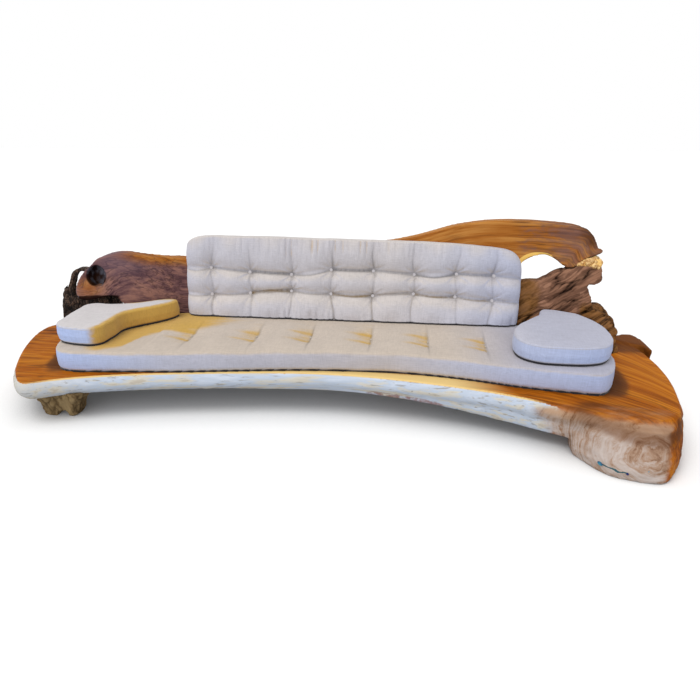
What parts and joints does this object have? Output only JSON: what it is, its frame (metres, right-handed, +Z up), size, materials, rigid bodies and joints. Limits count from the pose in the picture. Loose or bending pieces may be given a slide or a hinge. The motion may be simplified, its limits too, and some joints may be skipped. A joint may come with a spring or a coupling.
{
  "type": "bench",
  "caption": "Long live-edge root-wood bench with a leaning branch backrest over an open eye and loose tufted cushions.",
  "frame": {"origin": "on the floor, under the middle of the whole bench's plan", "axes": "+X along the bench towards the root foot, +Y to the back, +Z up"},
  "size_m": [4.2282, 1.4487, 1.0418],
  "materials": {
    "slab_wood": "satin",
    "plank_wood": "satin",
    "root_wood": "matte",
    "bark": "matte",
    "pin_wood": "matte",
    "zinc_steel": "satin",
    "resin": "gloss",
    "linen": "matte",
    "filling": "matte",
    "twine": "matte"
  },
  "bodies": {
    "bench": {"seat_slab": "slab_wood", "backrest_plank": "plank_wood", "root_post": "root_wood", "bark_stump": "bark", "front_left_foot": "root_wood", "rear_left_foot": "root_wood", "rear_right_foot": "root_wood", "foot_pins": "pin_wood", "coach_screws": "zinc_steel", "coach_screw_washers": "zinc_steel", "branch_pin": "pin_wood", "resin_plugs": "resin"},
    "seat_cushion": {"seat_cushion_cover": "linen", "seat_cushion_foam": "filling", "seat_cushion_ties": "twine"},
    "back_cushion": {"back_cushion_cover": "linen", "back_cushion_filling": "filling", "back_cushion_buttons": "linen", "back_cushion_rear_buttons": "linen", "back_cushion_twines": "twine"},
    "left_arm_cushion": {"left_arm_cushion_cover": "linen", "left_arm_cushion_foam": "filling"},
    "right_arm_cushion": {"right_arm_cushion_cover": "linen", "right_arm_cushion_foam": "filling"}
  },
  "joints": [
    {"name": "seat_cushion_lift", "type": "slide", "parent": "bench", "child": "seat_cushion", "axis": [0, 0, 1], "range_m": [0, 0.3]},
    {"name": "back_cushion_lift", "type": "slide", "parent": "seat_cushion", "child": "back_cushion", "axis": [0, 0.1908, 0.9816], "range_m": [0, 0.6]},
    {"name": "left_arm_cushion_lift", "type": "slide", "parent": "seat_cushion", "child": "left_arm_cushion", "axis": [0, 0, 1], "range_m": [0, 0.3]},
    {"name": "right_arm_cushion_lift", "type": "slide", "parent": "seat_cushion", "child": "right_arm_cushion", "axis": [0, 0, 1], "range_m": [0, 0.3]}
  ]
}
